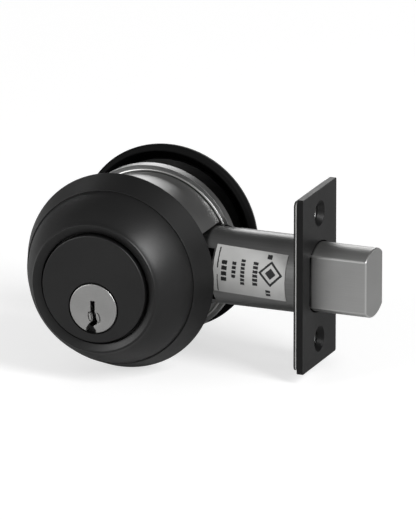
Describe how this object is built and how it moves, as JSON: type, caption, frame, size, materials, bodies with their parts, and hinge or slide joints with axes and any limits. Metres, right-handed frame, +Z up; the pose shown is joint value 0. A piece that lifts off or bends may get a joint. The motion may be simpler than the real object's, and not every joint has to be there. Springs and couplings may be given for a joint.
{
  "type": "deadbolt door lock",
  "caption": "Single cylinder tubular deadbolt: tapered outside collar with key cylinder, bolt through a faceplate, inside rose with thumbturn.",
  "frame": {"origin": "where the lock's axis crosses the bolt's axis, in the middle of the door's cross bore", "axes": "+X along the bolt towards the edge of the door, +Y from the outside of the door to the inside, +Z up"},
  "size_m": [0.1106, 0.0892, 0.0636],
  "materials": {
    "black_paint": "satin black",
    "satin_steel": "satin",
    "nickel_silver": "satin",
    "cast_zinc": "as cast, lightly polished",
    "zinc_plated_steel": "bright plated",
    "hardened_steel": "dark oiled",
    "spring_steel": "bright",
    "pin_brass": "bright",
    "label_stock": "printed"
  },
  "bodies": {
    "lock_case": {"cylinder_shell": "black_paint", "inside_rose": "black_paint", "faceplate": "black_paint", "chassis_drum": "cast_zinc", "support_ring": "cast_zinc", "bolt_tube": "zinc_plated_steel", "backing_plate": "zinc_plated_steel", "through_bolt_1": "zinc_plated_steel", "through_bolt_2": "zinc_plated_steel", "cylinder_screw_1": "zinc_plated_steel", "cylinder_screw_2": "zinc_plated_steel", "frame_spacer_1": "zinc_plated_steel", "frame_spacer_2": "zinc_plated_steel", "spindle_washer": "zinc_plated_steel", "collar_steel_insert": "hardened_steel", "bearing_plate_front": "hardened_steel", "bearing_plate_rear": "hardened_steel", "mounting_plate": "hardened_steel", "collar_spring_washer": "spring_steel", "detent_spring": "spring_steel", "pin_spring_1": "spring_steel", "pin_spring_2": "spring_steel", "pin_spring_3": "spring_steel", "pin_spring_4": "spring_steel", "pin_spring_5": "spring_steel", "pin_chamber_cap": "pin_brass", "driver_pin_1": "pin_brass", "driver_pin_2": "pin_brass", "driver_pin_3": "pin_brass", "driver_pin_4": "pin_brass", "driver_pin_5": "pin_brass", "type_label": "label_stock"},
    "collar": {"outside_collar": "black_paint"},
    "key_plug": {"key_plug": "nickel_silver", "plug_retainer": "spring_steel", "tailpiece": "hardened_steel", "key_pin_1": "pin_brass", "key_pin_2": "pin_brass", "key_pin_3": "pin_brass", "key_pin_4": "pin_brass", "key_pin_5": "pin_brass"},
    "crank": {"crank_hub": "cast_zinc", "crank_pin": "hardened_steel"},
    "thumbturn": {"thumbturn_knob": "black_paint", "thumbturn_spindle": "cast_zinc", "spindle_clip": "spring_steel"},
    "bolt": {"bolt": "satin_steel", "bolt_tail_front": "hardened_steel", "bolt_tail_rear": "hardened_steel", "tail_rivet_1": "zinc_plated_steel", "tail_rivet_2": "zinc_plated_steel"},
    "saw_guard": {"saw_guard_pin": "hardened_steel"}
  },
  "joints": [
    {"name": "bolt_throw", "type": "slide", "parent": "lock_case", "child": "bolt", "axis": [1, 0, 0], "range_m": [-0.01905, 0]},
    {"name": "thumbturn_turn", "type": "hinge", "parent": "lock_case", "child": "thumbturn", "pos_m": [0, 0, -0.0062], "axis": [0, -1, 0], "range_deg": [0, 90]},
    {"name": "key_plug_turn", "type": "hinge", "parent": "lock_case", "child": "key_plug", "pos_m": [0, 0, -0.0062], "axis": [0, -1, 0], "range_deg": [0, 90]},
    {"name": "crank_turn", "type": "hinge", "parent": "lock_case", "child": "crank", "pos_m": [0, 0, -0.0062], "axis": [0, -1, 0], "range_deg": [0, 90]},
    {"name": "collar_spin", "type": "hinge", "parent": "lock_case", "child": "collar", "pos_m": [0, 0, 0], "axis": [0, -1, 0], "continuous": true},
    {"name": "saw_guard_spin", "type": "hinge", "parent": "bolt", "child": "saw_guard", "pos_m": [0, 0, -0.005], "axis": [1, 0, 0], "continuous": true}
  ],
  "couplings": [
    {"joint": "thumbturn_turn", "follows": "bolt_throw", "rad_per_m": -82.457},
    {"joint": "key_plug_turn", "follows": "bolt_throw", "rad_per_m": -82.457},
    {"joint": "crank_turn", "follows": "bolt_throw", "rad_per_m": -82.457}
  ]
}
